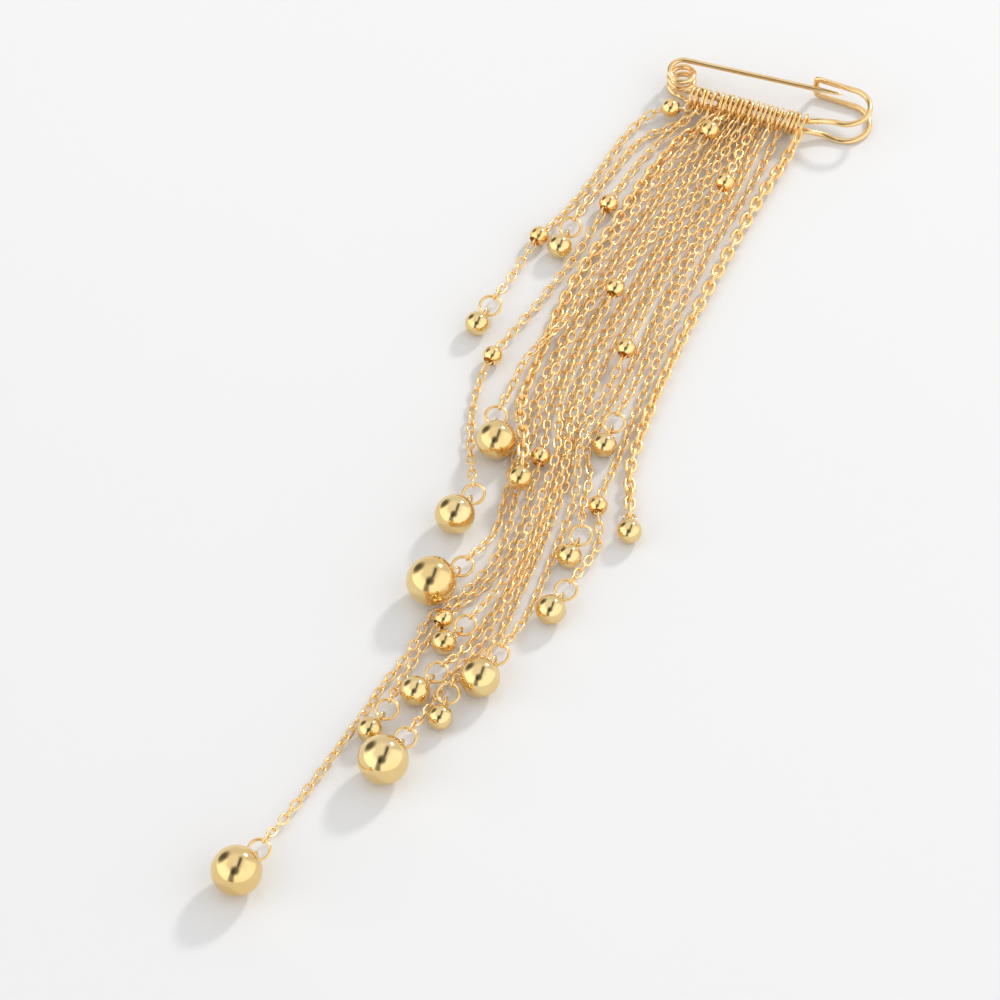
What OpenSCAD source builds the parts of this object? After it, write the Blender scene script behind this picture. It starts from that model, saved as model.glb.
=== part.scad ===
// Lapel chain: a double-bar safety pin with a sprung needle, a row of jump rings round its
// bars, and a tassel of cable chains that end in ball drops. It lies on a flat surface at z = 0.
// X runs along the bars towards the catch, Y away from the tassel, Z up.

/* [Pin] */
// Diameter of the wire of the frame
frame_wire = 1.2; // [1:0.05:1.25]
// Diameter of the needle's wire
needle_wire = 1.1; // [0.9:0.05:1.15]
// Radius of the coil, to the middle of the wire
coil_r = 2.5; // [2.3:0.05:2.8]
// Rise of the coil in one turn
coil_pitch = 2.2; // [2:0.05:2.3]
// Distance of the catch's bend from the coil's axis
catch_x = 27; // [26.5:0.25:28]
// Distance of the catch's bend beyond the coil's axis, away from the tassel
catch_y = 6.5; // [6:0.1:7]
// Distance of the middle of the round head from the coil's axis
head_x = 35; // [34.5:0.25:38]
// Radius of the round head, to the middle of the wire
head_r = 4.85; // [4.4:0.05:5.2]
// Height between the two wires at the head
head_gap = 5.3; // [4.8:0.1:5.6]
// Height of the flattened leaf at the catch
leaf_height = 1.6; // [1.2:0.1:1.8]
// Thickness of the flattened leaf at the catch
leaf_thickness = 0.72; // [0.6:0.02:0.9]
// Length of the needle from the coil's axis to its tip
needle_len = 33.5; // [31:0.5:34]
// Length of the needle's tapered point
needle_point = 5; // [3:0.5:8]

/* [Ring row] */
// Length of the row, from the first ring to the last
row_len = 23.3; // [22.6:0.1:23.8]
// Radius of a ring, to the middle of the wire
row_r = 2.25; // [2.2:0.05:2.4]
// Diameter of the wire of a ring
row_wire = 0.6; // [0.5:0.02:0.6]
// Height of the upper bar above the lower one inside the rings
bar_rise = 2.1; // [1.8:0.05:2.2]
// Distance of the upper bar behind the lower one inside the rings
bar_step = 0.9; // [0.7:0.05:1]

/* [Fine chain] */
// Length of a fine link
fine_len = 3.1; // [3:0.05:3.2]
// Width of a fine link
fine_w = 1.9; // [1.7:0.05:2]
// Diameter of the wire of a fine link
fine_wire = 0.36; // [0.3:0.02:0.38]

// Diameter of a fine chain where it is drawn as a plain string
string_d = 1.8; // [1.6:0.05:1.85]

/* [Thick chain] */
// Length of a thick link
thick_len = 3.95; // [3.85:0.05:4.1]
// Width of a thick link
thick_w = 2.75; // [2.65:0.05:2.85]
// Diameter of the wire of a thick link
thick_wire = 0.7; // [0.64:0.02:0.72]

/* [Drops] */
// Diameter of the smallest balls
ball_xs = 5; // [4.5:0.1:5.5]
// Diameter of the small balls
ball_s = 6; // [5.5:0.1:6.5]
// Diameter of the middle balls
ball_m = 8; // [7.4:0.1:8.4]
// Diameter of the large balls
ball_l = 10; // [9.2:0.1:10.4]
// Radius of the loop soldered on a small ball, to the middle of the wire
loop_r = 1.2; // [1.05:0.05:1.3]
// Radius of the loop soldered on a middle or large ball, to the middle of the wire
big_loop_r = 1.45; // [1.3:0.05:1.6]
// Diameter of the wire of a ball's loop
loop_wire = 0.5; // [0.4:0.02:0.55]
// Radius of a drop's jump ring, to the middle of the wire
jump_r = 2.15; // [2.1:0.05:2.4]
// Diameter of the wire of a jump ring
jump_wire = 0.65; // [0.5:0.05:0.7]

/* [Beads] */
// Diameter of the beads that sit on the chains
bead_d = 4; // [3.6:0.1:4.2]
// Play between a chain and the bore of a bead
bead_play = 0.2; // [0.15:0.01:0.25]

/* [Hidden] */
// Least space between two pieces of metal that hook or pass each other
clearance = 0.12;

// Routes of the chains, each a short list of points from the ring row down to its drop.
// A point is the middle of the chain: x and y from the coil's axis, z from the surface.
// The first point of a chain, on its ring, is worked out and isn't listed.
ROUTES = [
    [[2.3, -8, 3.1], [0.3, -8.2, 2.9], [-2.2, -9.2, 2.2], [-4.7, -11.8, 1.3], [-6.5, -16.4, 1.1],
        [-8.1, -24, 1.1], [-9.5, -31, 1.1], [-11.3, -38, 1.1], [-13.3, -44.5, 1.7],
        [-14.8, -48.5, 2.1], [-15.9, -53, 1.5],
        [-16.9, -60.1, 1.5], [-17.9, -66.3, 2.6]],
    [[3, -9.6, 1.2], [1, -11.9, 1.05], [-1.9, -14.9, 1.05], [-4.1, -18.8, 1.1],
        [-5.8, -25, 1.1], [-7.3, -31, 1.1], [-8.4, -36, 1.5], [-9.1, -41.8, 2.8]],
    [[4, -10.6, 2.9], [1, -15, 1.5], [-1.6, -22, 1.1], [-3.2, -30, 1.6],
        [-4.1, -35.9, 2.1], [-5, -41, 1.4], [-6.3, -49.5, 1.1], [-8.1, -58, 1.1], [-10, -65.8, 1.1],
        [-12.2, -74, 1.5], [-13.8, -81.1, 2.1], [-14.5, -86, 1.4], [-13.4, -95, 1.1], [-10.9, -103.8, 1.5],
        [-7.1, -113.6, 3.1]],
    [[6.8, -10.5, 1.5], [3.9, -15.6, 1.5], [0.7, -27.6, 1.5], [-1.5, -41, 1.5],
        [-4, -53.5, 1.5], [-5, -66, 1.5], [-5, -80, 1.5], [-4.9, -88.5, 1.65], [-3.6, -94.5, 2.85],
        [-1.1, -100.1, 3.85], [0.7, -105.8, 4]],
    [[8.8, -9.5, 3.35], [7.5, -12, 3.1], [7, -14.5, 2.8], [3.8, -25, 2.5], [1, -40, 2.4], [-1.9, -58, 2.4],
        [-2.2, -65, 2.9], [-3.1, -70.5, 3.6], [-5, -76, 4.2], [-7.2, -82, 3], [-7.7, -88.2, 2.1],
        [-7.9, -93.3, 3.1]],
    [[8.6, -14, 1.05], [5.3, -25, 1.05], [2.6, -40, 1.05], [-0.3, -58, 1.05],
        [-2.1, -73, 1.05], [-2.4, -89, 1.05], [-1.9, -98, 1.05], [-1.7, -103, 1.05], [-0.4, -113, 1.05],
        [0.6, -121, 1.05], [-0.1, -126.6, 2], [-1.5, -131.6, 3.5]],
    [[11.1, -9.3, 4.6], [10.4, -11.8, 4.9], [9.6, -14.5, 4.1], [8.7, -18.5, 2.9],
        [6.9, -25, 2.5], [4.2, -40, 2.35],
        [1.4, -58, 2.35], [-0.4, -73, 2.35], [-0.7, -88, 2.35], [0.1, -96, 1.4], [0.4, -103, 1.05],
        [1.6, -113, 1.05], [2.8, -121, 1.05], [2.9, -127, 1.05], [2, -132, 1.05], [0.6, -136.5, 1.05],
        [-1.4, -141, 1.05], [-3.3, -144.3, 1.05], [-4.9, -147.2, 1.05], [-5.6, -153.5, 1.05],
        [-6.7, -160, 1.05], [-8.2, -166, 1.05], [-9, -171.5, 1.05], [-10.4, -177.5, 1.05],
        [-11.9, -185, 1.05],
        [-14.2, -195.5, 1.05], [-15.9, -203.1, 1.6], [-16.9, -208.4, 3.1]],
    [[11, -14, 1.05], [8.5, -25, 1.05], [5.8, -40, 1.05], [3.1, -58, 1.05],
        [1.2, -73, 1.05], [0.9, -88, 1.05], [2.6, -97, 1.6], [3.4, -102.6, 2.1], [3.9, -108, 1.4],
        [4.6, -115, 1.05], [5, -121, 1.05], [5, -127, 1.05], [4.1, -132, 1.05], [2.5, -137, 1.05],
        [0.4, -141.5, 1.4], [-1.8, -147, 2.1], [-2.9, -150.3, 1.4], [-3.6, -153.5, 1.1],
        [-4.6, -160, 1.05], [-5.2, -165.3, 1.8], [-5.1, -169.2, 3.3]],
    [[12.3, -14, 2.75], [10.1, -25, 2.5], [7.4, -40, 2.35], [5.2, -52, 3.2],
        [4.5, -58.1, 3.9], [3.8, -65, 2.7], [2.9, -73, 2.35], [2.6, -86, 2.5], [4.6, -95, 2.75],
        [6.4, -102.6, 2.85], [6.8, -113, 2.75], [6.9, -127, 2.75], [6.5, -134, 2.75], [5.3, -139.6, 3],
        [3.7, -145.1, 3.6]],
    [[13.4, -14, 1.05], [11.7, -25, 1.05], [9, -40, 1.05], [6.5, -58, 1.05],
        [4.6, -73, 1.05], [4.4, -88, 1.05], [6, -96, 1.05], [7.6, -103, 1.05], [8, -113, 1.05],
        [8.1, -127, 1.05], [7.7, -134, 1.05], [6.9, -139.5, 1.05], [5.7, -145, 1.05], [4.7, -150, 1.05],
        [3.5, -154.5, 2.1], [2.3, -157.9, 3.5]],
    [[14.6, -14, 2.75], [13.2, -25, 2.5], [10.6, -40, 2.35], [8.2, -58, 2.35],
        [6.3, -73, 2.35], [6.1, -88, 2.35], [7.2, -96, 2.75], [8.7, -103, 2.75], [9.1, -113, 2.75],
        [9.2, -127, 2.75], [8.9, -134, 2.75], [8.3, -140, 2.5], [7.7, -145, 1.6], [6.8, -150, 1.05],
        [5.2, -155, 1.05], [3.2, -160, 1.05], [2.6, -165, 1.05], [1.9, -170.1, 1.8], [1.1, -174.6, 3.4]],
    [[15.8, -14, 1.05], [14.8, -25, 1.05], [12.2, -40, 1.05], [9.9, -58, 1.05],
        [8, -73, 1.05], [7.7, -88, 1.05], [8.5, -97, 1.05], [9.8, -103, 1.05], [10.2, -113, 1.05],
        [10.3, -127, 1.05], [10, -134, 1.05], [9.8, -140, 1.05], [9.7, -145, 1.05], [8.9, -150, 1.05],
        [7.3, -155, 1.05], [5.35, -159, 1.8], [5.15, -161.8, 3.2]],
    [[17.3, -14, 2.9], [17.2, -25, 4.5], [15.6, -33, 3], [13.9, -40, 2.35],
        [12.3, -55, 2.35], [11.6, -65, 2.8], [11.3, -71.9, 3.4], [10.8, -79, 1.8], [9.8, -87, 1.2],
        [9.8, -93, 2.3], [10, -96.5, 2.75], [10.7, -100.5, 2.6], [11.8, -105, 1.5], [12.8, -110, 1.05],
        [13.2, -115, 1.05], [13.3, -125, 1.05], [13.3, -133, 1.05], [13, -140, 1.05],
        [12.2, -145.8, 1.9], [11.6, -149.8, 3.4]],
    [[18.2, -14, 1.05], [17.9, -25, 1.05], [15.5, -40, 1.05], [14, -58, 1.05],
        [13.3, -72, 1.05], [12.3, -84, 1.05], [11.6, -92, 1.05], [11.3, -97, 1.05], [13.9, -103.5, 1.05],
        [15, -110.8, 1.45], [16.5, -116.5, 3]],
    [[20.3, -14, 2.75], [19.4, -25, 2.5], [17.2, -40, 2.35], [15.9, -58, 2],
        [15.5, -72, 1.2], [15.2, -80.9, 1.8], [14.9, -87.7, 3.5]],
    [[22.4, -14, 1.05], [21.3, -25, 1.05], [19, -40, 1.05], [17.8, -58, 1.05],
        [17.6, -73, 1.05], [17.6, -85, 1.05], [17.9, -96, 1.05], [17.7, -105, 1.4], [18, -110.7, 2.1],
        [19.6, -114.8, 1.5], [20.8, -119, 1.05], [20.2, -124.6, 1.5], [19.2, -130.2, 2.9]],
    [[26.4, -12, 1.5], [25.6, -17, 1.5], [24.3, -25, 1.5], [22.7, -40, 1.5],
        [21.1, -58, 1.5], [20.3, -73, 1.5], [20.1, -84, 1.5], [20.5, -94, 1.5], [21.2, -100, 1.5],
        [22.7, -104.7, 1.5], [24.5, -110.2, 1.9]]
];

// What each route carries: its chain, the number of its ring in the row, how far below level it
// hooks on and how far it swings aside there, its ball, the ball's heading in degrees from +X,
// how far the ball lies above the surface, whether a jump ring holds it, and whether the chain is
// drawn link by link.
KIND = 0;
SLOT = 1;
HOOK = 2;
BALL = 3;
HEADING = 4;
LIFT = 5;
JUMP = 6;
LINKED = 7;
FINE = [fine_len, fine_w, fine_wire];
THICK = [thick_len, thick_w, thick_wire];
HIGH = [-5, 0];
MIDDLE = [12, 0];
LEVEL = [8, 0];
LOW = [30, 0];
HIGH_ASIDE = [-5, 20];
LOW_ASIDE = [30, 10];
STRANDS = [
    [FINE, 0, HIGH_ASIDE, ball_xs, -100, 0, true, true],
    [FINE, 0, LOW_ASIDE, ball_xs, -95, 0, true, false],
    [FINE, 2, HIGH, ball_m, -103, 0, true, true],
    [THICK, 4, MIDDLE, ball_xs, -80, 2, false, true],
    [FINE, 5, HIGH, ball_m, -72, 0, true, false],
    [FINE, 6, LOW, ball_l, -122, 0, true, false],
    [FINE, 7, HIGH, ball_l, -104, 0, true, false],
    [FINE, 8, LOW, ball_xs, -108, 0, true, false],
    [FINE, 9, HIGH, ball_xs, -120, 0, true, false],
    [FINE, 10, LOW, ball_s, -116, 0, true, false],
    [FINE, 11, HIGH, ball_l, -104, 0, true, false],
    [FINE, 12, LOW, ball_xs, -88, 0, true, false],
    [FINE, 13, HIGH, ball_m, -101, 0, true, false],
    [FINE, 14, LOW, ball_xs, -96, 0, true, false],
    [FINE, 16, HIGH, ball_xs, -92, 0, true, false],
    [FINE, 18, LOW, ball_s, -102, 0, true, false],
    [THICK, 22, LEVEL, ball_xs, -74, 0, false, true]
];
// The strand whose ball lies farthest out
FARTHEST = 6;

// Beads: the number of the strand that each sits on, and its place in y from the coil's axis
BEADS = [[0, -8.2], [0, -48.5], [2, -35.9], [2, -81.1], [6, -12.8], [7, -102.6], [7, -147], [8, -58.1],
    [12, -25], [12, -71.9], [15, -110.7]];

UP = [0, 0, 1];
WIRE_SIDES = 10;
NEEDLE_SIDES = 12;
TUBE_SIDES = 8;
TURN_STEP = 15;
ROUND = 32;
// Length of tube between two rings of its corners, in widths of the chain
TUBE_STEP = 1.7;
CURVE_STEPS = 8;

// Heights of the two wires at the head and of the leaves, above the surface
lower_z = frame_wire / 2;
upper_z = lower_z + head_gap;
leaf_low_z = leaf_height / 2;
leaf_high_z = upper_z + (frame_wire - leaf_height) / 2;
needle_rest_y = catch_y - (frame_wire + needle_wire) / 2 - clearance;
needle_swing = atan((needle_rest_y - coil_r) / catch_x);
needle_exit = 90 + needle_swing;
needle_drop = 4.2;
needle_turn = 285;
point_d = 0.15;

// The coil is one helix: the frame's part ends a gap before the needle's part begins
coil_turns = 2.5 - needle_swing / 360;
needle_z = lower_z + coil_turns * coil_pitch;
coil_gap = 0.4;
frame_turns = coil_turns - needle_turn / 360 - coil_gap / (2 * PI * coil_r);

// Slope of a jump ring from its chain down to its ball
ring_lean = 15;

// The frame's course: how far the bars run on past the last ring, where before the head they
// spread and by what share, how far the catch stands out beyond the head, and how far each leaf
// bends over to meet the other.
bar_run = 0.8;
SPREAD = [[3.8, 0.6], [1.3, 0.95]];
catch_set = 0.5;
leaf_bend = [0.1, 0.7];
// How far the upper bar begins before the row, and how the lower bar drops into the coil
start_back = 2.1;
COIL_ENTRY = [[1.7, -0.9, 0.5], [0.8, -0.25, 0.05]];
COIL_STEPS = 26;

// The row of rings: how many, the first ring, the middle line, and the lean of the first and last.
// Rings that carry a chain stand far enough apart for its link to pass between them.
row_count = 23;
hook_play = 0.03;
loose_play = 0.2;
row_hook = 0.3;
row_start = 4;
row_y = -4.15;
row_z = 3.05;
first_lean = -6;
last_lean = 18;

function unit(v) = v / norm(v);
function side_of(dir) = unit(cross(UP, dir));
function blend(a, b, t) = a + (b - a) * t;
function sum(list) = list * [for (v = list) 1];

// A smooth curve through points: each step is a cubic between two of them
function cubic(a, b, c, d, t) =
    0.5 * (2 * b + (c - a) * t + (2 * a - 5 * b + 4 * c - d) * t * t + (3 * b - a - 3 * c + d) * t * t * t);
function smooth(points, steps) = let (
    n = len(points),
    p = concat([2 * points[0] - points[1]], points, [2 * points[n - 1] - points[n - 2]])
) concat(
    [for (i = [1 : n - 1]) for (k = [0 : steps - 1]) cubic(p[i - 1], p[i], p[i + 1], p[i + 2], k / steps)],
    [points[n - 1]]
);

// Length along a curve up to each of its points, and the place at a given length
function lengths(curve) = [for (i = 0, s = 0; i < len(curve);
    s = s + (i + 1 < len(curve) ? norm(curve[i + 1] - curve[i]) : 0), i = i + 1) s];
function tables(curve) = let (s = lengths(curve))
    [for (axis = [0 : 2]) [for (i = [0 : len(curve) - 1]) [s[i], curve[i][axis]]]];
function total(tab) = tab[0][len(tab[0]) - 1][0];
function at(tab, s) = [for (axis = [0 : 2]) lookup(s, tab[axis])];
function heading_at(tab, s, reach) = unit(at(tab, min(s + reach, total(tab))) - at(tab, max(s - reach, 0)));

// Two hooked links: the distance of their middles, and from a link's middle to its end wire
function link_pitch(kind) = kind[0] - 2 * kind[2] - clearance;
function link_half(kind) = (kind[0] - kind[2]) / 2;
function hook_gap(kind, wire, play = clearance) = (wire + kind[2]) / 2 + play;

// The ring that a strand hangs on, and the middle of its first link
function carried(k) = max([0, for (s = STRANDS) if (s[SLOT] == k) s[KIND][2]]);
function least_step(k) = row_wire + max(loose_play, max(carried(k), carried(k + 1)) + 2 * hook_play);
least_steps = [for (k = [0 : row_count - 2]) least_step(k)];
spare_step = (row_len - sum(least_steps)) / (row_count - 1);
function row_x(k) = row_start + sum([0, for (j = [0 : 1 : k - 1]) least_steps[j] + spare_step]);
function row_centre(k) = [row_x(k), row_y, row_z];
function row_lean(k) = blend(first_lean, last_lean, k / (row_count - 1));
function hook_out(i) = let (below = STRANDS[i][HOOK][0], lean = row_lean(STRANDS[i][SLOT]))
    [-sin(below) * sin(lean), -cos(below), -sin(below) * cos(lean)];
function hook_dir(i) = let (aside = STRANDS[i][HOOK][1], out = hook_out(i))
    [out.x * cos(aside) + out.y * sin(aside), out.y * cos(aside) - out.x * sin(aside), out.z];
function first_link(i) = let (kind = STRANDS[i][KIND])
    row_centre(STRANDS[i][SLOT]) + row_r * hook_out(i)
        + (link_half(kind) - hook_gap(kind, row_wire, row_hook)) * hook_dir(i);
// The first link is turned about its pull so that its sides pass midway between two rings
function hook_turn(i) = let (
    kind = STRANDS[i][KIND],
    k = STRANDS[i][SLOT],
    room = (least_step(min(k, row_count - 2)) + spare_step) / 2 * cos(row_lean(k))
) (k % 2 == 0 ? -1 : 1) * acos(room / ((kind[1] - kind[2]) / 2)) - row_lean(k);
function route(i) = smooth(concat([first_link(i)], ROUTES[i]), CURVE_STEPS);
function end_dir(i) = let (r = route(i), n = len(r)) unit(r[n - 1] - r[n - 2]);
function end_point(i) = ROUTES[i][len(ROUTES[i]) - 1];

// The drop at the end of a strand. Its jump ring leans with the chain's side up, and the slope
// of the ball's loop carries the ball down or up to where it rests.
function loop_size(ball) = ball > ball_s ? big_loop_r : loop_r;
function loop_reach(ball) = ball / 2 + loop_size(ball) - loop_wire / 3;
function last_hook(i) = let (kind = STRANDS[i][KIND], wire = STRANDS[i][JUMP] ? jump_wire : kind[2])
    end_point(i) + end_dir(i) * (link_half(kind) - (STRANDS[i][JUMP] ? hook_gap(kind, wire) : 0));
function turn_off(i) = let (d = end_dir(i)) STRANDS[i][HEADING] - atan2(d.y, d.x);
function sloped(i, slope) = let (h = STRANDS[i][HEADING])
    [cos(h) * cos(slope), sin(h) * cos(slope), sin(slope)];
function ring_dir(i) = sloped(i, -ring_lean);
function jump_centre(i) = let (a = turn_off(i))
    last_hook(i) + jump_r * (cos(a) * ring_dir(i) - sin(a) * side_of(ring_dir(i)));
function loop_centre(i) = STRANDS[i][JUMP] ? jump_centre(i) + jump_r * ring_dir(i) : last_hook(i);
function drop_dir(i) = let (rise = STRANDS[i][BALL] / 2 + STRANDS[i][LIFT] - loop_centre(i).z)
    sloped(i, asin(rise / loop_reach(STRANDS[i][BALL])));
function ball_centre(i) = loop_centre(i) + loop_reach(STRANDS[i][BALL]) * drop_dir(i);

// The part stands on the surface with the middle of its box over the origin
far_ball = ball_centre(FARTHEST);
place = -[
    (far_ball.x - ball_l / 2 + head_x + head_r + frame_wire / 2) / 2,
    (far_ball.y - ball_l / 2 + catch_y + leaf_thickness / 2) / 2,
    0
];

function numbered(name, last) = [for (i = [1 : last]) str(name, i < 10 ? "0" : "", i)];
CHAINS = numbered("chain_", len(STRANDS));
BALLS = numbered("ball_", len(STRANDS));
JUMPS = [for (i = [0 : len(STRANDS) - 1]) if (STRANDS[i][JUMP]) i];
JUMP_RINGS = numbered("jump_ring_", len(JUMPS));

// Turns its children's x axis to a direction, with their y axis level, and puts them at a point
module aim(point, dir) {
    side = side_of(dir);
    normal = cross(dir, side);
    translate(place) multmatrix([
        [dir.x, side.x, normal.x, point.x],
        [dir.y, side.y, normal.y, point.y],
        [dir.z, side.z, normal.z, point.z],
        [0, 0, 0, 1]
    ]) children();
}

// A ring of round wire in its own xy plane, or a part of one
module wire_ring(radius, wire, angle = 360) {
    rotate_extrude(angle = angle, $fn = ROUND) translate([radius, 0]) circle(d = wire, $fn = ROUND / 2);
}

// One oval link of a chain: two half rings and two straight sides
module oval_link(kind) {
    bend = (kind[1] - kind[2]) / 2;
    straight = kind[0] - kind[1];
    for (end = [-1, 1])
        translate([end * straight / 2, 0, 0]) rotate([0, 0, -end * 90]) wire_ring(bend, kind[2], 180);
    for (side = [-1, 1])
        translate([-straight / 2, side * bend, 0]) rotate([0, 90, 0])
            cylinder(d = kind[2], h = straight, $fn = ROUND / 2);
}

// A closed skin round a curve, with its own height and width at each point
function frames(curve) = let (
    n = len(curve),
    dirs = [for (i = [0 : n - 1]) unit(curve[min(i + 1, n - 1)] - curve[max(i - 1, 0)])],
    first = unit(UP - dirs[0] * (UP * dirs[0]))
) [for (i = 0, v = first; i < n; i = i + 1, v = i < n ? unit(v - dirs[i] * (v * dirs[i])) : v)
    [v, cross(dirs[i], v)]];
module sweep(curve, heights, widths, sides) {
    n = len(curve);
    f = frames(curve);
    points = [for (i = [0 : n - 1]) for (k = [0 : sides - 1]) let (a = 360 * (k + 0.5) / sides)
        curve[i] + f[i][0] * heights[i] / 2 * cos(a) + f[i][1] * widths[i] / 2 * sin(a)];
    skin = [for (i = [0 : n - 2]) for (k = [0 : sides - 1])
        let (a = i * sides + k, b = i * sides + (k + 1) % sides)
        each [[a, a + sides, b + sides], [a, b + sides, b]]];
    caps = [[for (k = [0 : sides - 1]) k], [for (k = [0 : sides - 1]) n * sides - 1 - k]];
    polyhedron(points, concat(skin, caps));
}

// Half of the frame's course, from the coil round the head to the catch: 1 is the upper wire
function frame_half(up) = let (
    head_z = up > 0 ? upper_z : lower_z,
    leaf_z = up > 0 ? leaf_high_z : leaf_low_z,
    bar = [row_y + up * bar_step / 2, row_z + up * bar_rise / 2],
    head_y = catch_y - catch_set - head_r,
    row_end = row_start + row_len
) concat(
    [[row_start - 1, bar[0], bar[1]]],
    [for (t = [0.1, 0.5, 0.9]) [blend(row_start, row_end, t), bar[0], bar[1]]],
    [[row_end + bar_run, bar[0], bar[1]]],
    [for (s = SPREAD) [head_x - s[0], head_y - head_r, blend(bar[1], head_z, s[1])]],
    [for (a = [-90 : TURN_STEP : 90]) [head_x + head_r * cos(a), head_y + head_r * sin(a),
        blend(head_z, leaf_z, max(a, 0) / 90)]],
    [for (t = [0.3, 0.55, 0.8])
        [blend(head_x, catch_x, t), blend(catch_y - catch_set, catch_y, t), leaf_z]],
    [[catch_x + catch_set, catch_y, leaf_z - up * leaf_bend[0]],
        [catch_x, catch_y, leaf_z - up * leaf_bend[1]]]
);
function reversed(list) = [for (i = [len(list) - 1 : -1 : 0]) list[i]];
function coil_point(turns) = [coil_r * cos(-90 - 360 * turns), coil_r * sin(-90 - 360 * turns),
    lower_z + coil_pitch * turns];
frame_points = concat(
    [[row_start - start_back, row_y + bar_step / 2, row_z + bar_rise / 2]],
    frame_half(1), reversed(frame_half(-1)),
    [for (e = COIL_ENTRY) [e.x, -coil_r + e.y, lower_z + e.z]],
    [for (k = [0 : COIL_STEPS]) coil_point(frame_turns * k / COIL_STEPS)]
);
module pin_frame() {
    curve = smooth(frame_points, 3);
    leaf = [for (p = curve) p.y > 0 && p.x > catch_x - 1
        ? min(1, max(0, (head_x - 0.2 - p.x) / 3)) * min(1, max(0, (p.x - catch_x) / 1.5 + 0.2)) : 0];
    color("gold") translate(place) sweep(curve,
        [for (t = leaf) blend(frame_wire, leaf_height, t)],
        [for (t = leaf) blend(frame_wire, leaf_thickness, t)], WIRE_SIDES);
}

module pin_needle() {
    dir = [cos(needle_swing) * cos(needle_drop), sin(needle_swing) * cos(needle_drop), -sin(needle_drop)];
    start = [coil_r * cos(needle_exit), coil_r * sin(needle_exit), needle_z];
    length = needle_len / cos(needle_swing);
    turn = [for (a = [needle_turn : -TURN_STEP : TURN_STEP]) coil_point(coil_turns - a / 360)];
    arm = [for (s = [0, 1, length - needle_point, length - needle_point / 3, length]) start + s * dir];
    wide = [for (p = turn) needle_wire];
    taper = [needle_wire, needle_wire, needle_wire, needle_wire / 2, point_d];
    color("gold") translate(place)
        sweep(concat(turn, arm), concat(wide, taper), concat(wide, taper), NEEDLE_SIDES);
}

module row_rings() {
    color("goldenrod") for (k = [0 : row_count - 1])
        translate(place + row_centre(k)) rotate([0, 90 + row_lean(k), 0]) wire_ring(row_r, row_wire);
}

// A chain link by link: the first lies flat on its ring, the last stands on edge
module linked_chain(i) {
    kind = STRANDS[i][KIND];
    tab = tables(route(i));
    count = 2 * ceil((total(tab) / link_pitch(kind) + 1) / 2);
    step = total(tab) / (count - 1);
    for (k = [0 : count - 1])
        aim(at(tab, k * step), k == 0 ? hook_dir(i) : heading_at(tab, k * step, step / 3))
            rotate([k == 0 ? hook_turn(i) : k % 2 * 90, 0, 0]) oval_link(kind);
}

// A chain as a plain round string of its own width, from its ring to its jump ring
module plain_chain(i) {
    kind = STRANDS[i][KIND];
    tab = tables(route(i));
    tail = norm(last_hook(i) - end_point(i)) - jump_wire / 2 - clearance;
    rings = ceil(total(tab) / (TUBE_STEP * string_d));
    curve = concat([for (k = [0 : rings - 1]) at(tab, total(tab) * k / rings)],
        [end_point(i) + end_dir(i) * tail]);
    wide = [for (p = curve) string_d];
    translate(place) sweep(curve, wide, wide, TUBE_SIDES);
}

module chain(i) {
    color("goldenrod") if (STRANDS[i][LINKED]) linked_chain(i); else plain_chain(i);
}

// A polished ball with a loop soldered on it
module ball(i) {
    size = STRANDS[i][BALL];
    color("gold") {
        translate(place + ball_centre(i)) sphere(d = size, $fn = ROUND * 2);
        aim(loop_centre(i), drop_dir(i)) rotate([STRANDS[i][JUMP] ? 90 : 0, 0, 0])
            wire_ring(loop_size(size), loop_wire);
    }
}

module jump_ring(i) {
    color("gold") aim(jump_centre(i), ring_dir(i)) wire_ring(jump_r, jump_wire);
}

// Drilled beads, each on the stretch of chain at its place in y
function length_at(tab, y) = lookup(y, [for (p = tab[1]) [p[1], p[0]]]);
module beads() {
    color("gold") for (b = BEADS) {
        tab = tables(route(b[0]));
        s = length_at(tab, b[1]);
        aim(at(tab, s), heading_at(tab, s, bead_d / 2)) rotate([0, 90, 0]) difference() {
            sphere(d = bead_d, $fn = ROUND);
            cylinder(d = fine_w + 2 * bead_play, h = bead_d + 1, center = true, $fn = ROUND);
        }
    }
}

pin_frame();
pin_needle();
row_rings();
beads();
for (i = [0 : len(STRANDS) - 1]) {
    chain(i);
    ball(i);
}
for (k = [0 : len(JUMPS) - 1]) jump_ring(JUMPS[k]);
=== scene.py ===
# Lapel chain laid on a pale surface: a gold-plated safety pin, a row of rings round its bars,
# and a tassel of cable chains with stop beads and polished ball drops. Lengths are in metres.
import math
import random

import bpy
import numpy as np
from mathutils import Euler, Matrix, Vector


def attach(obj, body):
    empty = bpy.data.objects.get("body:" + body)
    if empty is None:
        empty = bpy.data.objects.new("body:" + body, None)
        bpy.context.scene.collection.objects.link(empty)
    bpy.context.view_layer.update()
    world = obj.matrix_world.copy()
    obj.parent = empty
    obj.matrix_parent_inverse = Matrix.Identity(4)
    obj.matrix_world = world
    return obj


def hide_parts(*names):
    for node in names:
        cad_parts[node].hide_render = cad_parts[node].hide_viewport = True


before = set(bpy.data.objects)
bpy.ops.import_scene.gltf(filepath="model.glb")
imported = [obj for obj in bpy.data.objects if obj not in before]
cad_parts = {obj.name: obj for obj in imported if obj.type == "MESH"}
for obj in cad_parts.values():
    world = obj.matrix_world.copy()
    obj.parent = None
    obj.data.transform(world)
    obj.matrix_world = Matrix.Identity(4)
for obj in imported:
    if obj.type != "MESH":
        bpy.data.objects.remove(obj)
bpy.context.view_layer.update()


# The camera: a long lens at the photograph's angle, about 52 degrees above the surface and turned
# 18.5 degrees about the upright, so that the bars slope down to the right.
MM = 0.001
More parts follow.
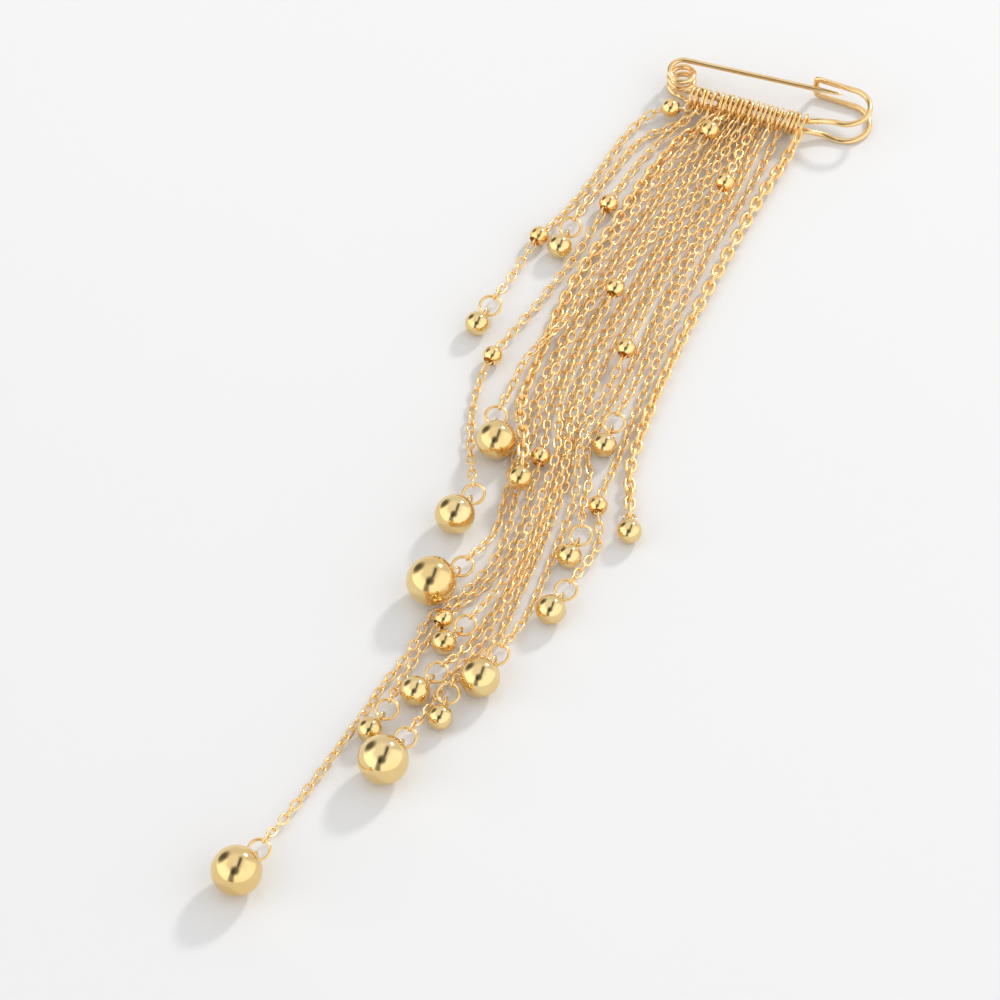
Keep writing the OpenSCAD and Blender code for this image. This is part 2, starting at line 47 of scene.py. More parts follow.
# The coil's axis in the model's frame, from which the pin and the chains are measured in mm
COIL = np.array([-8.0906, 108.379, 0.0])
VIEW_TURN = math.radians(18.5)
VIEW_RISE = math.radians(52)
CAMERA_FAR = 1.65
AWAY = Vector((-math.sin(VIEW_TURN) * math.cos(VIEW_RISE),
               math.cos(VIEW_TURN) * math.cos(VIEW_RISE), -math.sin(VIEW_RISE)))
# The place on the surface at the middle of the picture
aim = Vector((COIL[0] - 1.308, COIL[1] - 113.949, 0)) * MM
lens = bpy.data.cameras.new("camera")
lens.lens = 299.9
lens.sensor_width = 36
lens.clip_end = 20
camera = bpy.data.objects.new("camera", lens)
camera.location = aim - AWAY * CAMERA_FAR
camera.rotation_euler = AWAY.to_track_quat("-Z", "Y").to_euler()
bpy.context.collection.objects.link(camera)
bpy.context.scene.camera = camera
bpy.context.scene.view_settings.view_transform = "Standard"


# The pin's frame: one gold-plated brass wire. It runs from beside the coil through the rings as
# the upper bar, round the head, is pressed flat and folded over as the catch, comes back as the
# lower bar and ends in the coil's turns under the needle.
class Shade:
    """A socket of a material, so that shader maths is written as sums."""

    def __init__(self, tree, socket):
        self.tree = tree
        self.socket = socket

    def node(self, kind, settings=None, inputs=None, out=0):
        made = self.tree.nodes.new(kind)
        for key, value in (settings or {}).items():
            setattr(made, key, value)
        for key, value in (inputs or {}).items():
            if isinstance(value, Shade):
                self.tree.links.new(value.socket, made.inputs[key])
            else:
                made.inputs[key].default_value = value
        return Shade(self.tree, made.outputs[out])

    def maths(self, operation, other, swapped=False):
        first, second = (other, self) if swapped else (self, other)
        return self.node("ShaderNodeMath", {"operation": operation}, {0: first, 1: second})

    def __add__(self, other):
        return self.maths("ADD", other)

    def __radd__(self, other):
        return self.maths("ADD", other, True)

    def __sub__(self, other):
        return self.maths("SUBTRACT", other)

    def __rsub__(self, other):
        return self.maths("SUBTRACT", other, True)

    def __mul__(self, other):
        return self.maths("MULTIPLY", other)

    def __rmul__(self, other):
        return self.maths("MULTIPLY", other, True)

    def mix(self, low, high):
        """Low where this is 0 and high where it is 1, for two colours."""
        return self.node("ShaderNodeMix", {"data_type": "RGBA"},
                         {0: self, 6: (*low, 1), 7: (*high, 1)}, 2)

    def steps(self, low, high):
        """A smooth rise from 0 at low to 1 at high."""
        return self.node("ShaderNodeMapRange", {"interpolation_type": "SMOOTHSTEP"},
                         {0: self, 1: low, 2: high})


def gold_plate(name, bright, deep, polish, cloud_mm, scratch, metallic=1.0):
    """Plated brass: a clouded tint, a roughness that wanders, and fine hairlines in the polish."""
    material = bpy.data.materials.new(name)
    material.use_nodes = True
    tree = material.node_tree
    metal = tree.nodes["Principled BSDF"]
    spot = Shade(tree, None).node("ShaderNodeTexCoord", out=3)
    cloud = spot.node("ShaderNodeTexNoise", None, {
        "Vector": spot, "Scale": 1000 / cloud_mm, "Detail": 3.0, "Roughness": 0.6})
    cloud = cloud.steps(0.32, 0.68)
    grain = spot.node("ShaderNodeTexNoise", None, {
        "Vector": spot, "Scale": 6000.0, "Detail": 2.0, "Roughness": 0.7})
    lines = spot.node("ShaderNodeTexWave", {"wave_type": "BANDS", "bands_direction": "DIAGONAL"}, {
        "Vector": spot, "Scale": 900.0, "Distortion": 14.0, "Detail": 3.0, "Detail Scale": 2.5}, 1)
    rough = polish + polish * 0.9 * (1 - cloud) + 0.03 * grain
    bump = grain.node("ShaderNodeBump", None, {
        "Strength": scratch, "Distance": 0.00002, "Height": grain + 0.5 * lines.steps(0.86, 0.98)})
    tree.links.new(cloud.mix(deep, bright).socket, metal.inputs["Base Color"])
    tree.links.new(rough.socket, metal.inputs["Roughness"])
    tree.links.new(bump.socket, metal.inputs["Normal"])
    metal.inputs["Metallic"].default_value = metallic
    return material


def smooth_curve(points, steps):
    """Catmull-Rom curve through given points, the same as the model's own."""
    p = np.array([2 * points[0] - points[1], *points, 2 * points[-1] - points[-2]])
    t = (np.arange(steps) / steps)[:, None]
    runs = []
    for a, b, c, d in zip(p, p[1:], p[2:], p[3:]):
        runs.append(0.5 * (2 * b + (c - a) * t + (2 * a - 5 * b + 4 * c - d) * t ** 2
                           + (3 * b - a - 3 * c + d) * t ** 3))
    return np.vstack([*runs, points[-1][None]])


def unit(v):
    return v / np.linalg.norm(v, axis=-1, keepdims=True)


def wire_mesh(curve, tall, wide, sides):
    """A closed wire round a curve in mm, with its own height and width at each point."""
    ways = unit(np.gradient(curve, axis=0))
    up = np.array([0.0, 0, 1])
    rims = []
    for point, way, high, across in zip(curve, ways, tall, wide):
        up = unit(up - way * up.dot(way))
        side = np.cross(way, up)
        for turn in 2 * math.pi * (np.arange(sides) + 0.5) / sides:
            rims.append(point + up * high / 2 * math.cos(turn) + side * across / 2 * math.sin(turn))
    faces = []
    for i in range(len(curve) - 1):
        for k in range(sides):
            a, b = i * sides + k, i * sides + (k + 1) % sides
            faces.append((a, b, b + sides, a + sides))
    faces.append(tuple(range(sides))[::-1])
    faces.append(tuple(range((len(curve) - 1) * sides, len(curve) * sides)))
    return np.array(rims), faces


def piece(name, points, faces, material, body, slot, *stands_for):
    """A smooth-shaded piece from points in mm, on its body, in place of its nodes."""
    mesh = bpy.data.meshes.new(name)
    mesh.from_pydata(((points + COIL) * MM).tolist(), [], faces)
    mesh.materials.append(material)
    for face in mesh.polygons:
        face.use_smooth = len(face.vertices) <= 4
    made = bpy.data.objects.new(name, mesh)
    bpy.context.collection.objects.link(made)
    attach(made, body)
    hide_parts(*stands_for)


# Sizes of the pin in mm, as in the model
FRAME_WIRE = 1.2
NEEDLE_WIRE = 1.1
COIL_R, COIL_PITCH = 2.5, 2.2
CATCH_X, CATCH_Y = 27.0, 6.5
CATCH_SET = 0.5
HEAD_X, HEAD_R, HEAD_GAP = 35.0, 4.85, 5.3
LEAF_TALL, LEAF_THICK = 1.6, 0.72
LOWER_Z = FRAME_WIRE / 2
UPPER_Z = LOWER_Z + HEAD_GAP
ROW_START, ROW_END = 4.0, 27.3
# The place across and the height of each bar inside the rings: 1 is the upper bar
BARS = {1: (-3.7, 4.1), -1: (-4.6, 2.0)}
CLEARANCE = 0.12
# The degrees of the coil that belong to the needle, and the gap between its two wires
NEEDLE_TURN, COIL_GAP = 285, 0.4
swing = math.atan((CATCH_Y - (FRAME_WIRE + NEEDLE_WIRE) / 2 - CLEARANCE - COIL_R) / CATCH_X)
coil_turns = 2.5 - swing / (2 * math.pi)
frame_turns = coil_turns - NEEDLE_TURN / 360 - COIL_GAP / (2 * math.pi * COIL_R)
pin_gold = gold_plate("pin_gold", (0.95, 0.71, 0.38), (0.90, 0.60, 0.27), 0.10, 4.0, 0.10, 0.95)


def coil_point(turns):
    """A point of the coil, by the number of turns up from its lower end."""
    a = -math.pi / 2 - 2 * math.pi * turns
    return COIL_R * math.cos(a), COIL_R * math.sin(a), LOWER_Z + COIL_PITCH * turns


def frame_half(up):
    """The wire from the coil along a bar, round the head and to the catch: 1 is the upper one."""
    head_z = UPPER_Z if up > 0 else LOWER_Z
    leaf_z = UPPER_Z + (FRAME_WIRE - LEAF_TALL) / 2 if up > 0 else LEAF_TALL / 2
    y, z = BARS[up]
    near = CATCH_Y - CATCH_SET - 2 * HEAD_R
    points = [(ROW_START - 1, y, z)]
    points += [(ROW_START + t * (ROW_END - ROW_START), y, z) for t in (0.1, 0.5, 0.9)]
    points += [(ROW_END + 0.8, y, z), (HEAD_X - 3.8, near, z + 0.6 * (head_z - z)),
               (HEAD_X - 1.3, near, z + 0.95 * (head_z - z))]
    for turn in range(-90, 91, 15):
        a = math.radians(turn)
        points.append((HEAD_X + HEAD_R * math.cos(a), near + HEAD_R + HEAD_R * math.sin(a),
                       head_z + (leaf_z - head_z) * max(turn, 0) / 90))
    for t in (0.3, 0.55, 0.8):
        across = CATCH_Y - CATCH_SET + CATCH_SET * t
        points.append((HEAD_X + t * (CATCH_X - HEAD_X), across, leaf_z))
    points += [(CATCH_X + 0.5, CATCH_Y, leaf_z - up * 0.1), (CATCH_X, CATCH_Y, leaf_z - up * 0.7)]
    return points


course = [(ROW_START - 2.1, *BARS[1]), *frame_half(1), *frame_half(-1)[::-1],
          (1.7, -COIL_R - 0.9, LOWER_Z + 0.5), (0.8, -COIL_R - 0.25, LOWER_Z + 0.05)]
course += [coil_point(frame_turns * k / 26) for k in range(27)]
# Lifted by a hair, because the smooth curve dips a little below its own points
wire = smooth_curve(np.array(course), 6) + [0, 0, 0.01]
x, y = wire[:, 0], wire[:, 1]
# 1 where the wire is pressed flat into the leaf of the catch, 0 where it is round
flat = np.clip((HEAD_X - 0.2 - x) / 3, 0, 1) * np.clip((x - CATCH_X) / 1.5 + 0.2, 0, 1)
flat *= (y > 0) & (x > CATCH_X - 1)
points, faces = wire_mesh(wire, FRAME_WIRE + flat * (LEAF_TALL - FRAME_WIRE),
                          FRAME_WIRE + flat * (LEAF_THICK - FRAME_WIRE), 20)
piece("frame_wire", points, faces, pin_gold, "frame", "pin_gold", "pin_frame")


# The needle: the same wire drawn thinner. It goes on from the coil's turns with the top turn and
# is sprung by the coil, and its tapered point lies behind the folded catch.
NEEDLE_LEN = 33.5
NEEDLE_POINT = 5
drop = math.radians(4.2)
leave = math.pi / 2 + swing
start = np.array([COIL_R * math.cos(leave), COIL_R * math.sin(leave),
                  LOWER_Z + coil_turns * COIL_PITCH])
along = np.array([math.cos(swing) * math.cos(drop), math.sin(swing) * math.cos(drop),
                  -math.sin(drop)])
reach = NEEDLE_LEN / math.cos(swing)
turn = [coil_point(coil_turns - a / 360) for a in range(NEEDLE_TURN, 1, -5)]
places = [0, 0.5, 1, 5, 10, 15, 20, 25, *(reach - k for k in range(NEEDLE_POINT, -1, -1))]
arm = [start + s * along for s in places]
taper = [min(1, math.sqrt(max(reach - s, 0.001) / NEEDLE_POINT)) for s in places]
size = np.array([1.0] * len(turn) + taper) * NEEDLE_WIRE
points, faces = wire_mesh(np.array([*turn, *arm]), size, size, 18)
piece("needle_wire", points, faces, pin_gold, "needle", "pin_gold", "pin_needle")


# The row of jump rings round the two bars, of bright round wire, closed and soldered, each with a
# lean of its own. The jump rings of the drops already have their shape.
ROW_Y, ROW_Z = -4.15, 3.05
RING_COUNT = 23
RING_R, RING_WIRE, DRAWN_RING_WIRE = 2.25, 0.6, 0.66
FIRST_LEAN, LAST_LEAN = -6, 18
LOOSE_PLAY, HOOK_PLAY = 0.2, 0.03
# How unevenly the rings stand, in radians of lean and turn and in mm of shift
LEAN_SWAY, TURN_SWAY, SHIFT = 0.09, 0.1, 0.12
# The length, width and wire of the links of the two kinds of chain, as in the model
FINE = (3.1, 1.9, 0.36)
THICK = (3.95, 2.75, 0.7)
# Where each chain hooks on: its kind, its ring, and the degrees that it hangs below level and aside
HOOKS = {
    "chain_01": (FINE, 0, -5, 20), "chain_02": (FINE, 0, 30, 10), "chain_03": (FINE, 2, -5, 0),
    "chain_04": (THICK, 4, 12, 0), "chain_05": (FINE, 5, -5, 0), "chain_06": (FINE, 6, 30, 0),
    "chain_07": (FINE, 7, -5, 0), "chain_08": (FINE, 8, 30, 0), "chain_09": (FINE, 9, -5, 0),
    "chain_10": (FINE, 10, 30, 0), "chain_11": (FINE, 11, -5, 0), "chain_12": (FINE, 12, 30, 0),
    "chain_13": (FINE, 13, -5, 0), "chain_14": (FINE, 14, 30, 0), "chain_15": (FINE, 16, -5, 0),
    "chain_16": (FINE, 18, 30, 0), "chain_17": (THICK, 22, 8, 0),
}
# The rings stand close, but for room where a link hangs between two of them
carried = np.zeros(RING_COUNT)
for kind, ring, *_ in HOOKS.values():
    carried[ring] = kind[2]
wider = np.maximum(carried[:-1], carried[1:]) + 2 * HOOK_PLAY
steps = RING_WIRE + np.maximum(LOOSE_PLAY, wider)
steps += (ROW_END - ROW_START - steps.sum()) / (RING_COUNT - 1)
row_x = ROW_START + np.concatenate([[0], np.cumsum(steps)])
row_lean = np.radians(np.linspace(FIRST_LEAN, LAST_LEAN, RING_COUNT))


def loop_mesh(path, out, wire, sides):
    """Points and faces of a wire closed on itself, round a path in XY with its outward ways."""
    turns = 2 * math.pi * np.arange(sides) / sides
    rims = np.stack([np.cos(turns), np.cos(turns), np.sin(turns)], 1)[None]
    rims = rims * (out + [0, 0, 1])[:, None]
    faces = []
    for i in range(len(path)):
        here, there = i * sides, (i + 1) % len(path) * sides
        for k in range(sides):
            beside = (k + 1) % sides
            faces.append((here + k, there + k, there + beside, here + beside))
    return (path[:, None] + wire / 2 * rims).reshape(-1, 3), np.array(faces)


def loops_at(places, points, faces):
    """One mesh of a loop at many places, each a middle and a matrix of the loop's three axes."""
    firsts = len(points) * np.arange(len(places))[:, None, None]
    return (np.vstack([middle + points @ axes for middle, axes in places]),
            (faces + firsts).reshape(-1, faces.shape[1]).tolist())


ring_gold = gold_plate("ring_gold", (0.98, 0.74, 0.37), (0.93, 0.60, 0.23), 0.12, 2.0, 0.12, 0.85)
round_way = np.array([(math.cos(a), math.sin(a), 0)
                      for a in np.linspace(0, 2 * math.pi, 48, False)])
sway = random.Random(4)
places = []
for x, lean in zip(row_x, row_lean):
    tilt = math.pi / 2 + lean + sway.uniform(-LEAN_SWAY, LEAN_SWAY)
    axes = np.array(Euler((0, tilt, sway.uniform(-TURN_SWAY, TURN_SWAY))).to_matrix()).T
    places.append((np.array([x, ROW_Y + sway.uniform(-SHIFT, SHIFT), ROW_Z]), axes))
ring_loop = loop_mesh(RING_R * round_way, round_way, DRAWN_RING_WIRE, 12)
points, faces = loops_at(places, *ring_loop)
piece("row_of_rings", points, faces, ring_gold, "frame", "ring_gold", "row_rings")
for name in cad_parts:
    if name.startswith("jump_ring"):
        bpy.data.objects[name].data.materials[0] = ring_gold


# The chains: cable chain of soldered oval links, each turned a quarter to the next, that hooks on
# a ring of the row and runs to its drop. Fifteen are fine and two are thicker. The model has
# some of them as plain strings, and all get their links here, on the same routes.
chain_gold = gold_plate("chain_gold", (1.0, 0.80, 0.43), (1.0, 0.63, 0.24), 0.15, 1.6, 0.2, 0.75)
# The drawn links are a little stouter than the model's, which keep the gaps of separate solids
DRAWN = {FINE: (3.2, 1.94, 0.46), THICK: (3.99, 2.74, 0.78)}
# How far a first link lies back from where it would pull on its ring
ROW_HOOK = 0.3
# How far the links roll off their quarter turns: all along a chain, and each by itself
ROLL_SWAY, ROLL_PLAY = 0.4, 0.2
# The route of each chain from its second link to its drop, in mm, as in the model
ROUTES = {
    "chain_01": [(2.3, -8, 3.1), (0.3, -8.2, 2.9), (-2.2, -9.2, 2.2), (-4.7, -11.8, 1.3),
        (-6.5, -16.4, 1.1), (-8.1, -24, 1.1), (-9.5, -31, 1.1), (-11.3, -38, 1.1),
        (-13.3, -44.5, 1.7), (-14.8, -48.5, 2.1), (-15.9, -53, 1.5), (-16.9, -60.1, 1.5),
        (-17.9, -66.3, 2.6)],
    "chain_02": [(3, -9.6, 1.2), (1, -11.9, 1.05), (-1.9, -14.9, 1.05), (-4.1, -18.8, 1.1),
        (-5.8, -25, 1.1), (-7.3, -31, 1.1), (-8.4, -36, 1.5), (-9.1, -41.8, 2.8)],
    "chain_03": [(4, -10.6, 2.9), (1, -15, 1.5), (-1.6, -22, 1.1), (-3.2, -30, 1.6),
        (-4.1, -35.9, 2.1), (-5, -41, 1.4), (-6.3, -49.5, 1.1), (-8.1, -58, 1.1), (-10, -65.8, 1.1),
        (-12.2, -74, 1.5), (-13.8, -81.1, 2.1), (-14.5, -86, 1.4), (-13.4, -95, 1.1),
        (-10.9, -103.8, 1.5), (-7.1, -113.6, 3.1)],
    "chain_04": [(6.8, -10.5, 1.5), (3.9, -15.6, 1.5), (0.7, -27.6, 1.5), (-1.5, -41, 1.5),
        (-4, -53.5, 1.5), (-5, -66, 1.5), (-5, -80, 1.5), (-4.9, -88.5, 1.65), (-3.6, -94.5, 2.85),
        (-1.1, -100.1, 3.85), (0.7, -105.8, 4)],
    "chain_05": [(8.8, -9.5, 3.35), (7.5, -12, 3.1), (7, -14.5, 2.8), (3.8, -25, 2.5),
        (1, -40, 2.4), (-1.9, -58, 2.4), (-2.2, -65, 2.9), (-3.1, -70.5, 3.6), (-5, -76, 4.2),
        (-7.2, -82, 3), (-7.7, -88.2, 2.1), (-7.9, -93.3, 3.1)],
    "chain_06": [(8.6, -14, 1.05), (5.3, -25, 1.05), (2.6, -40, 1.05), (-0.3, -58, 1.05),
        (-2.1, -73, 1.05), (-2.4, -89, 1.05), (-1.9, -98, 1.05), (-1.7, -103, 1.05),
        (-0.4, -113, 1.05), (0.6, -121, 1.05), (-0.1, -126.6, 2), (-1.5, -131.6, 3.5)],
    "chain_07": [(11.1, -9.3, 4.6), (10.4, -11.8, 4.9), (9.6, -14.5, 4.1), (8.7, -18.5, 2.9),
        (6.9, -25, 2.5), (4.2, -40, 2.35), (1.4, -58, 2.35), (-0.4, -73, 2.35), (-0.7, -88, 2.35),
        (0.1, -96, 1.4), (0.4, -103, 1.05), (1.6, -113, 1.05), (2.8, -121, 1.05), (2.9, -127, 1.05),
        (2, -132, 1.05), (0.6, -136.5, 1.05), (-1.4, -141, 1.05), (-3.3, -144.3, 1.05),
        (-4.9, -147.2, 1.05), (-5.6, -153.5, 1.05), (-6.7, -160, 1.05), (-8.2, -166, 1.05),
        (-9, -171.5, 1.05), (-10.4, -177.5, 1.05), (-11.9, -185, 1.05), (-14.2, -195.5, 1.05),
        (-15.9, -203.1, 1.6), (-16.9, -208.4, 3.1)],
    "chain_08": [(11, -14, 1.05), (8.5, -25, 1.05), (5.8, -40, 1.05), (3.1, -58, 1.05),
        (1.2, -73, 1.05), (0.9, -88, 1.05), (2.6, -97, 1.6), (3.4, -102.6, 2.1), (3.9, -108, 1.4),
        (4.6, -115, 1.05), (5, -121, 1.05), (5, -127, 1.05), (4.1, -132, 1.05), (2.5, -137, 1.05),
        (0.4, -141.5, 1.4), (-1.8, -147, 2.1), (-2.9, -150.3, 1.4), (-3.6, -153.5, 1.1),
        (-4.6, -160, 1.05), (-5.2, -165.3, 1.8), (-5.1, -169.2, 3.3)],
    "chain_09": [(12.3, -14, 2.75), (10.1, -25, 2.5), (7.4, -40, 2.35), (5.2, -52, 3.2),
        (4.5, -58.1, 3.9), (3.8, -65, 2.7), (2.9, -73, 2.35), (2.6, -86, 2.5), (4.6, -95, 2.75),
        (6.4, -102.6, 2.85), (6.8, -113, 2.75), (6.9, -127, 2.75), (6.5, -134, 2.75),
        (5.3, -139.6, 3), (3.7, -145.1, 3.6)],
    "chain_10": [(13.4, -14, 1.05), (11.7, -25, 1.05), (9, -40, 1.05), (6.5, -58, 1.05),
        (4.6, -73, 1.05), (4.4, -88, 1.05), (6, -96, 1.05), (7.6, -103, 1.05), (8, -113, 1.05),
        (8.1, -127, 1.05), (7.7, -134, 1.05), (6.9, -139.5, 1.05), (5.7, -145, 1.05),
        (4.7, -150, 1.05), (3.5, -154.5, 2.1), (2.3, -157.9, 3.5)],
    "chain_11": [(14.6, -14, 2.75), (13.2, -25, 2.5), (10.6, -40, 2.35), (8.2, -58, 2.35),
        (6.3, -73, 2.35), (6.1, -88, 2.35), (7.2, -96, 2.75), (8.7, -103, 2.75), (9.1, -113, 2.75),
        (9.2, -127, 2.75), (8.9, -134, 2.75), (8.3, -140, 2.5), (7.7, -145, 1.6), (6.8, -150, 1.05),
        (5.2, -155, 1.05), (3.2, -160, 1.05), (2.6, -165, 1.05), (1.9, -170.1, 1.8),
        (1.1, -174.6, 3.4)],
    "chain_12": [(15.8, -14, 1.05), (14.8, -25, 1.05), (12.2, -40, 1.05), (9.9, -58, 1.05),
        (8, -73, 1.05), (7.7, -88, 1.05), (8.5, -97, 1.05), (9.8, -103, 1.05), (10.2, -113, 1.05),
        (10.3, -127, 1.05), (10, -134, 1.05), (9.8, -140, 1.05), (9.7, -145, 1.05),
        (8.9, -150, 1.05), (7.3, -155, 1.05), (5.35, -159, 1.8), (5.15, -161.8, 3.2)],
    "chain_13": [(17.3, -14, 2.9), (17.2, -25, 4.5), (15.6, -33, 3), (13.9, -40, 2.35),
        (12.3, -55, 2.35), (11.6, -65, 2.8), (11.3, -71.9, 3.4), (10.8, -79, 1.8), (9.8, -87, 1.2),
        (9.8, -93, 2.3), (10, -96.5, 2.75), (10.7, -100.5, 2.6), (11.8, -105, 1.5),
        (12.8, -110, 1.05), (13.2, -115, 1.05), (13.3, -125, 1.05), (13.3, -133, 1.05),
        (13, -140, 1.05), (12.2, -145.8, 1.9), (11.6, -149.8, 3.4)],
    "chain_14": [(18.2, -14, 1.05), (17.9, -25, 1.05), (15.5, -40, 1.05), (14, -58, 1.05),
        (13.3, -72, 1.05), (12.3, -84, 1.05), (11.6, -92, 1.05), (11.3, -97, 1.05),
        (13.9, -103.5, 1.05), (15, -110.8, 1.45), (16.5, -116.5, 3)],
    "chain_15": [(20.3, -14, 2.75), (19.4, -25, 2.5), (17.2, -40, 2.35), (15.9, -58, 2),
        (15.5, -72, 1.2), (15.2, -80.9, 1.8), (14.9, -87.7, 3.5)],
    "chain_16": [(22.4, -14, 1.05), (21.3, -25, 1.05), (19, -40, 1.05), (17.8, -58, 1.05),
        (17.6, -73, 1.05), (17.6, -85, 1.05), (17.9, -96, 1.05), (17.7, -105, 1.4),
        (18, -110.7, 2.1), (19.6, -114.8, 1.5), (20.8, -119, 1.05), (20.2, -124.6, 1.5),
        (19.2, -130.2, 2.9)],
    "chain_17": [(26.4, -12, 1.5), (25.6, -17, 1.5), (24.3, -25, 1.5), (22.7, -40, 1.5),
        (21.1, -58, 1.5), (20.3, -73, 1.5), (20.1, -84, 1.5), (20.5, -94, 1.5), (21.2, -100, 1.5),
        (22.7, -104.7, 1.5), (24.5, -110.2, 1.9)],
}


def oval_mesh(long, wide, wire):
    """One oval link along X, lying in XY, with full ends and slightly bowed sides."""
    half_long, half_wide, full = (long - wire) / 2, (wide - wire) / 2, 0.86
    turns = np.linspace(0, 2 * math.pi, 22, endpoint=False) + 0.01
    along, across = np.cos(turns), np.sin(turns)
    path = np.stack([half_long * np.sign(along) * abs(along) ** full,
                     half_wide * np.sign(across) * abs(across) ** full, 0 * turns], 1)
    out = np.stack([np.sign(along) * abs(along) ** (2 - full) / half_long,
                    np.sign(across) * abs(across) ** (2 - full) / half_wide, 0 * turns], 1)
    return loop_mesh(path, unit(out), wire, 10)


def links_along(name, points, seed):
    """The places of a chain's links on its route, each a quarter turn on, with a little slack."""
    (long, wide, wire), ring, below, aside = HOOKS[name]
    lean, below, aside = row_lean[ring], math.radians(below), math.radians(aside)
    out = np.array([-math.sin(below) * math.sin(lean), -math.cos(below),
                    -math.sin(below) * math.cos(lean)])
    hook = np.array([out[0] * math.cos(aside) + out[1] * math.sin(aside),
                     out[1] * math.cos(aside) - out[0] * math.sin(aside), out[2]])
    first = np.array([row_x[ring], ROW_Y, ROW_Z]) + RING_R * out
    first = first + (long / 2 - wire - RING_WIRE / 2 - ROW_HOOK) * hook
    room = steps[min(ring, RING_COUNT - 2)] / 2 * math.cos(lean)
    first_roll = (1 if ring % 2 else -1) * math.acos(room / ((wide - wire) / 2)) - lean
    curve = smooth_curve(np.array([first, *points]), 8)
    far = np.concatenate([[0], np.cumsum(np.linalg.norm(np.diff(curve, axis=0), axis=1))])
    count = 2 * math.ceil((far[-1] / (long - 2 * wire - CLEARANCE) + 1) / 2)
    step = far[-1] / (count - 1)
    slack = random.Random(seed)
    twist = slack.uniform(0, 6)

    def at(s):
        return np.array([np.interp(s, far, curve[:, axis]) for axis in range(3)])

    made = []
    for k in range(count):
        ahead = unit(at(k * step + step / 3) - at(k * step - step / 3)) if k else hook
        side = unit(np.cross([0, 0, 1.0], ahead))
        lift = np.cross(ahead, side)
        swung = 0
        if k < count - 1:
            swung = ROLL_SWAY * math.sin(0.2 * k + twist)
            swung += slack.uniform(-ROLL_PLAY, ROLL_PLAY)
        roll = k % 2 * math.pi / 2 + swung if k else first_roll
        across, up = math.cos(roll), math.sin(roll)
        made.append((at(k * step), np.array([ahead, side * across + lift * up,
                                             lift * across - side * up])))
    return made


ovals = {kind: oval_mesh(*drawn) for kind, drawn in DRAWN.items()}
for number, (name, route) in enumerate(ROUTES.items()):
    points, faces = loops_at(links_along(name, route, number), *ovals[HOOKS[name][0]])
    piece(name + "_links", points, faces, chain_gold, "frame", "chain_gold", name)


# The drops: hollow brass balls, plated in a slightly greener gold than the chains and polished
# like mirrors, each with a wire loop soldered to its top.
ball_gold = gold_plate("ball_gold", (0.88, 0.68, 0.34), (0.84, 0.60, 0.26), 0.05, 9.0, 0.03)
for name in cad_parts:
    if name.startswith("ball_"):
        bpy.data.objects[name].data.materials[0] = ball_gold


# The stop beads: small drilled balls of plated brass, threaded on the chains between the drops,
# where the links that fill their holes hold them.
bead_gold = gold_plate("bead_gold", (1.0, 0.74, 0.35), (0.97, 0.63, 0.25), 0.08, 4.0, 0.06)
bpy.data.objects["beads"].data.materials[0] = bead_gold


# The room: a plain pale floor, a soft key light from behind on the right, and the bright panels
# with the darker gaps between them that the polished balls show.
floor = bpy.data.meshes.new("floor")
floor.from_pydata([(-3, -3, 0), (3, -3, 0), (3, 3, 0), (-3, 3, 0)], [], [(0, 1, 2, 3)])
paper = bpy.data.materials.new("paper")
paper.use_nodes = True
sheet = paper.node_tree.nodes["Principled BSDF"]
spot = Shade(paper.node_tree, None).node("ShaderNodeTexCoord", out=3)
tone = spot.node("ShaderNodeTexNoise", None, {"Vector": spot, "Scale": 7.0, "Detail": 2.0})
pale = tone.mix((0.82, 0.822, 0.828), (0.84, 0.842, 0.848))
paper.node_tree.links.new(pale.socket, sheet.inputs["Base Color"])
sheet.inputs["Roughness"].default_value = 0.8
floor.materials.append(paper)
floor = bpy.data.objects.new("floor", floor)
bpy.context.collection.objects.link(floor)

CAMERA_RIGHT = Vector((math.cos(VIEW_TURN), math.sin(VIEW_TURN), 0))
CAMERA_BACK = Vector((-math.sin(VIEW_TURN), math.cos(VIEW_TURN), 0))


def toward(right, back, up):
    """A direction in the photograph's own sense: right, away from the camera and up."""
    return (CAMERA_RIGHT * right + CAMERA_BACK * back + Vector((0, 0, up))).normalized()


KEY_WAY = toward(0.50, 0.66, 0.54)
KEY_FAR = 2.2
key = bpy.data.lights.new("key", "AREA")
key.shape = "DISK"
key.size = 0.3
key.energy = 18
key.color = (1.0, 0.98, 0.95)
lamp = bpy.data.objects.new("key", key)
lamp.location = aim + KEY_WAY * KEY_FAR
lamp.rotation_euler = (-KEY_WAY).to_track_quat("-Z", "Y").to_euler()
bpy.context.collection.objects.link(lamp)

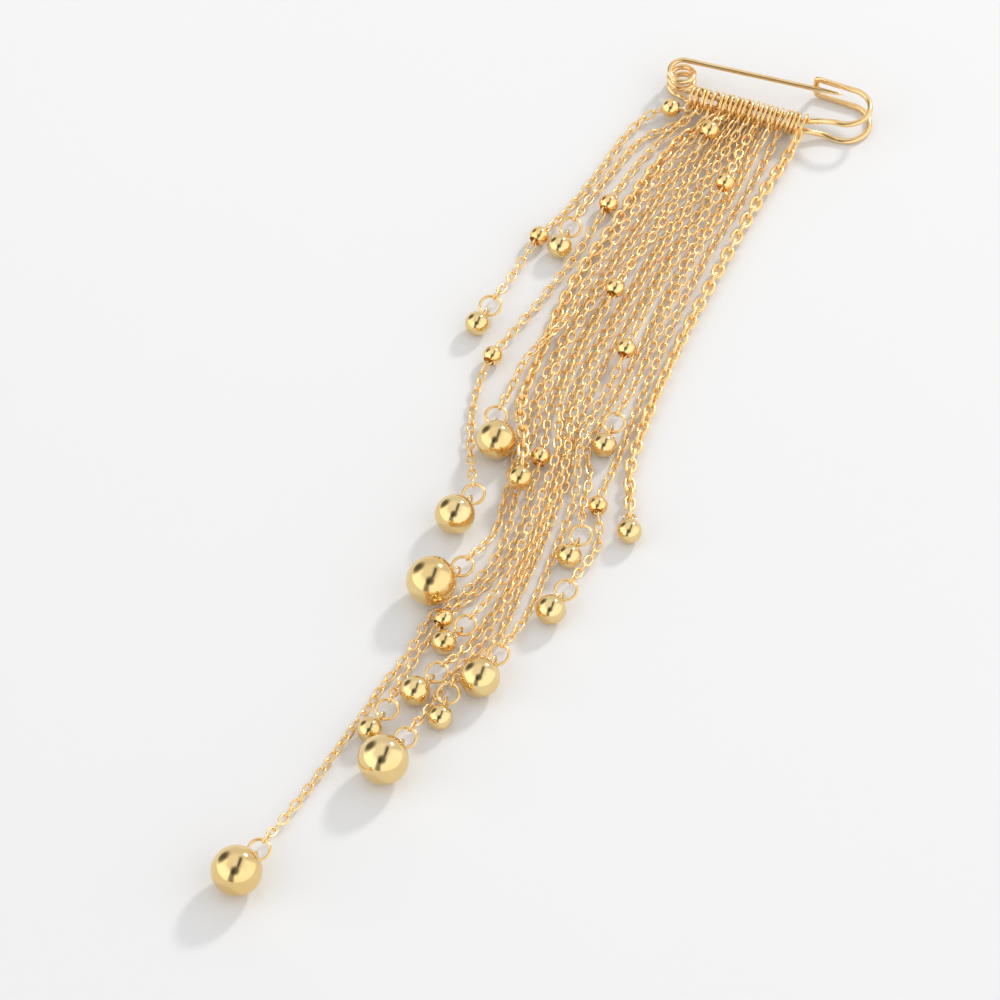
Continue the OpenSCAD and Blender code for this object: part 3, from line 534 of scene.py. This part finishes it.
world = bpy.data.worlds.new("room")
bpy.context.scene.world = world
world.use_nodes = True
sky = world.node_tree.nodes["Background"]
look = Shade(world.node_tree, None).node("ShaderNodeTexCoord", out=0)


def share(way):
    """How far the looked-at place of the room lies along a direction, from -1 to 1."""
    return look.node("ShaderNodeVectorMath", {"operation": "DOT_PRODUCT"},
                     {0: look, 1: tuple(way)}, 1)


def spot_at(way, near, far):
    """1 in a disc round a direction of the room, 0 outside it; near and far are degrees."""
    return share(way).steps(math.cos(math.radians(far)), math.cos(math.radians(near)))


def between(angle, low, high, soft):
    """1 where an angle in degrees lies between two, with soft edges."""
    return angle.steps(low - soft, low + soft) * (1 - angle.steps(high - soft, high + soft))


# Degrees round the room, from straight away from the camera to the right, and degrees of height
round_room = share(toward(1, 0, 0)).maths("ARCTAN2", share(toward(0, 1, 0))) * (180 / math.pi)
height = look.node("ShaderNodeMath", {"operation": "ARCSINE"}, {0: share((0, 0, 1))})
height = height * (180 / math.pi)
# A bright window on the left, a dimmer wall behind, a dark gap in front, and the ceiling
FRONT, WINDOW, WALL, GAP, CEILING = 1.3, 1.5, 0.8, 0.3, 0.98
left = between(round_room, -142, -72, 9)
back = between(round_room, -58, 66, 10)
gap = between(round_room, -170, -146, 7)
room = FRONT * (1 - left - back - gap) + WINDOW * left + WALL * back + GAP * gap
high = (height - 8 * (1 - back - left)).steps(34, 58)
room = room * (1 - high) + CEILING * high
# The dark shapes that every ball shows: a bar across the ceiling, the camera, and a far corner
bar_start, bar_end = toward(0.32, 0.50, 0.80), toward(0.10, -0.45, 0.90)
bar = share(bar_start.cross(bar_end).normalized())
bar = bar.steps(-0.24, 0.0) * (1 - bar.steps(0.0, 0.24))
room = room * (1 - 0.9 * bar * spot_at((bar_start + bar_end).normalized(), 14, 38))
room = room * (1 - 0.88 * spot_at(toward(-0.10, -0.60, 0.80), 4, 27))
room = room * (1 - 0.85 * spot_at(toward(-0.70, 0.62, 0.36), 5, 30))
world.node_tree.links.new(room.socket, sky.inputs["Strength"])
sky.inputs["Color"].default_value = (1, 1, 1, 1)
